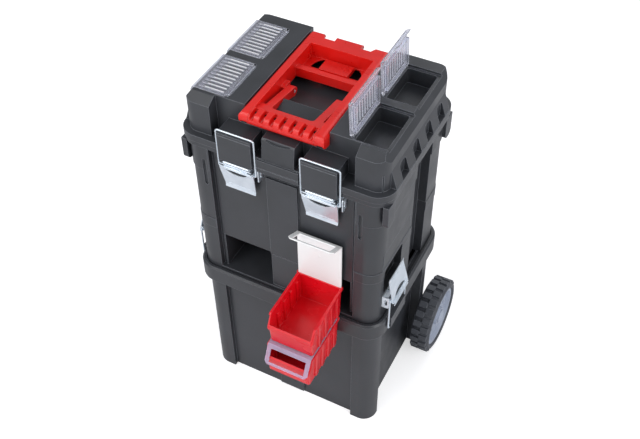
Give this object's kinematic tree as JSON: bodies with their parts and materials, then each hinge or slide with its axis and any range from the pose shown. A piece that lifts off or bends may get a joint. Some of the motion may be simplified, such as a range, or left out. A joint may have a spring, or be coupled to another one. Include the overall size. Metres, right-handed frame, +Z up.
{
  "type": "rolling tool case",
  "caption": "Black wheeled tool case: base bin, lift-off tool box with bin bay, lid with clear organiser lids, red tray and carry handle, steel toggle latches",
  "frame": {"origin": "centre of the base's underside, on the floor", "axes": "+X to the case's right seen from the front, +Y to the back where the wheels and trolley handle are, +Z up"},
  "size_m": [0.407, 0.4277, 0.7044],
  "materials": {
    "black_plastic": "moulded, fine grain",
    "red_plastic": "moulded, satin",
    "bin_red_plastic": "moulded, semi-gloss",
    "clear_plastic": "clear moulded plastic",
    "milky_plastic": "translucent, satin",
    "grey_plastic": "moulded, satin",
    "tyre_plastic": "moulded tread",
    "zinc_steel": "bright zinc plated",
    "black_steel": "black powder coat"
  },
  "bodies": {
    "base": {"base_box": "black_plastic", "axle": "zinc_steel", "trolley_outer_tubes": "black_steel", "trolley_tube_collars": "black_plastic", "trolley_lower_bracket": "black_plastic", "trolley_upper_bracket": "black_plastic", "trolley_screws": "zinc_steel"},
    "left_wheel": {"left_tyre": "tyre_plastic", "left_wheel_hub": "grey_plastic", "left_hub_cap": "grey_plastic"},
    "right_wheel": {"right_tyre": "tyre_plastic", "right_wheel_hub": "grey_plastic", "right_hub_cap": "grey_plastic"},
    "upper_case": {"bin_bay": "black_plastic", "tool_box_body": "black_plastic", "lid_hinge_pins": "zinc_steel", "latch_rivets": "zinc_steel", "front_left_latch_plate": "zinc_steel", "front_left_latch_pin": "zinc_steel", "front_right_latch_plate": "zinc_steel", "front_right_latch_pin": "zinc_steel", "left_side_latch_plate": "zinc_steel", "left_side_latch_pin": "zinc_steel", "right_side_latch_plate": "zinc_steel", "right_side_latch_pin": "zinc_steel"},
    "lid": {"lid_shell": "black_plastic", "top_tray": "red_plastic", "handle_pivot_pins": "zinc_steel"},
    "carry_handle": {"carry_handle": "red_plastic"},
    "bin_upper": {"bin_upper": "bin_red_plastic"},
    "bin_upper_lid": {"bin_upper_lid": "milky_plastic"},
    "bin_lower": {"bin_lower": "bin_red_plastic", "bin_lower_lid": "milky_plastic"},
    "trolley_handle": {"trolley_inner_tubes": "zinc_steel", "trolley_grip": "black_plastic"},
    "trolley_button": {"trolley_release_button": "red_plastic", "trolley_release_rods": "zinc_steel"},
    "left_front_organiser_lid": {"left_front_organiser_lid": "clear_plastic"},
    "left_rear_organiser_lid": {"left_rear_organiser_lid": "clear_plastic"},
    "right_front_organiser_lid": {"right_front_organiser_lid": "clear_plastic"},
    "right_rear_organiser_lid": {"right_rear_organiser_lid": "clear_plastic"},
    "front_left_latch_lever": {"front_left_latch_lever": "zinc_steel"},
    "front_left_latch_bail": {"front_left_latch_bail": "zinc_steel"},
    "front_right_latch_lever": {"front_right_latch_lever": "zinc_steel"},
    "front_right_latch_bail": {"front_right_latch_bail": "zinc_steel"},
    "left_side_latch_lever": {"left_side_latch_lever": "zinc_steel"},
    "left_side_latch_bail": {"left_side_latch_bail": "zinc_steel"},
    "right_side_latch_lever": {"right_side_latch_lever": "zinc_steel"},
    "right_side_latch_bail": {"right_side_latch_bail": "zinc_steel"}
  },
  "joints": [
    {"name": "left_wheel_spin", "type": "hinge", "parent": "base", "child": "left_wheel", "pos_m": [-0.184, 0.108, 0.073], "axis": [1, 0, 0], "continuous": true},
    {"name": "right_wheel_spin", "type": "hinge", "parent": "base", "child": "right_wheel", "pos_m": [0.184, 0.108, 0.073], "axis": [1, 0, 0], "continuous": true},
    {"name": "upper_case_lift", "type": "slide", "parent": "base", "child": "upper_case", "axis": [0, 0, 1], "range_m": [0, 0.25]},
    {"name": "lid_hinge", "type": "hinge", "parent": "upper_case", "child": "lid", "pos_m": [0, 0.133, 0.562], "axis": [-1, 0, 0], "range_deg": [0, 105]},
    {"name": "carry_handle_pivot", "type": "hinge", "parent": "lid", "child": "carry_handle", "pos_m": [0, -0.01, 0.614], "axis": [-1, 0, 0], "range_deg": [0, 100]},
    {"name": "left_front_organiser_lid_hinge", "type": "hinge", "parent": "lid", "child": "left_front_organiser_lid", "pos_m": [-0.099, -0.051, 0.639], "axis": [0, 1, 0], "range_deg": [0, 100]},
    {"name": "left_rear_organiser_lid_hinge", "type": "hinge", "parent": "lid", "child": "left_rear_organiser_lid", "pos_m": [-0.099, 0.051, 0.639], "axis": [0, 1, 0], "range_deg": [0, 100]},
    {"name": "right_front_organiser_lid_hinge", "type": "hinge", "parent": "lid", "child": "right_front_organiser_lid", "pos_m": [0.099, -0.051, 0.639], "axis": [0, 1, 0], "range_deg": [0, 93]},
    {"name": "right_rear_organiser_lid_hinge", "type": "hinge", "parent": "lid", "child": "right_rear_organiser_lid", "pos_m": [0.099, 0.051, 0.639], "axis": [0, 1, 0], "range_deg": [0, 93]},
    {"name": "front_left_latch_lever", "type": "hinge", "parent": "upper_case", "child": "front_left_latch_lever", "pos_m": [-0.069, -0.131, 0.548], "axis": [-1, 0, 0], "range_deg": [0, 98]},
    {"name": "front_left_latch_bail", "type": "hinge", "parent": "front_left_latch_lever", "child": "front_left_latch_bail", "pos_m": [-0.069, -0.1292, 0.538], "axis": [1, 0, 0], "range_deg": [0, 133]},
    {"name": "front_right_latch_lever", "type": "hinge", "parent": "upper_case", "child": "front_right_latch_lever", "pos_m": [0.069, -0.131, 0.548], "axis": [-1, 0, 0], "range_deg": [0, 98]},
    {"name": "front_right_latch_bail", "type": "hinge", "parent": "front_right_latch_lever", "child": "front_right_latch_bail", "pos_m": [0.069, -0.1292, 0.538], "axis": [1, 0, 0], "range_deg": [0, 133]},
    {"name": "left_side_latch_lever", "type": "hinge", "parent": "upper_case", "child": "left_side_latch_lever", "pos_m": [-0.177, -0.068, 0.322], "axis": [0, -1, 0], "range_deg": [0, 98]},
    {"name": "left_side_latch_bail", "type": "hinge", "parent": "left_side_latch_lever", "child": "left_side_latch_bail", "pos_m": [-0.1752, -0.068, 0.332], "axis": [0, 1, 0], "range_deg": [0, 133]},
    {"name": "right_side_latch_lever", "type": "hinge", "parent": "upper_case", "child": "right_side_latch_lever", "pos_m": [0.177, -0.068, 0.322], "axis": [0, 1, 0], "range_deg": [0, 98]},
    {"name": "right_side_latch_bail", "type": "hinge", "parent": "right_side_latch_lever", "child": "right_side_latch_bail", "pos_m": [0.1752, -0.068, 0.332], "axis": [0, -1, 0], "range_deg": [0, 133]},
    {"name": "bin_upper_slide", "type": "slide", "parent": "upper_case", "child": "bin_upper", "axis": [0, -1, 0], "range_m": [0, 0.12]},
    {"name": "bin_upper_lid_hinge", "type": "hinge", "parent": "bin_upper", "child": "bin_upper_lid", "pos_m": [0.064, -0.124, 0.3538], "axis": [1, 0, 0], "range_deg": [0, 90]},
    {"name": "bin_lower_slide", "type": "slide", "parent": "base", "child": "bin_lower", "axis": [0, -1, 0], "range_m": [0, 0.12]},
    {"name": "trolley_slide", "type": "slide", "parent": "base", "child": "trolley_handle", "axis": [0, 0, -1], "range_m": [-0.36, 0]},
    {"name": "trolley_button_press", "type": "slide", "parent": "trolley_handle", "child": "trolley_button", "axis": [0, 0, -1], "range_m": [0, 0.004], "stiffness_N_per_m": 800, "springref_m": -0.004}
  ],
  "couplings": [
    {"joint": "front_left_latch_bail", "follows": "front_left_latch_lever", "ratio": 1.35},
    {"joint": "front_right_latch_bail", "follows": "front_right_latch_lever", "ratio": 1.35},
    {"joint": "left_side_latch_bail", "follows": "left_side_latch_lever", "ratio": 1.35},
    {"joint": "right_side_latch_bail", "follows": "right_side_latch_lever", "ratio": 1.35}
  ]
}
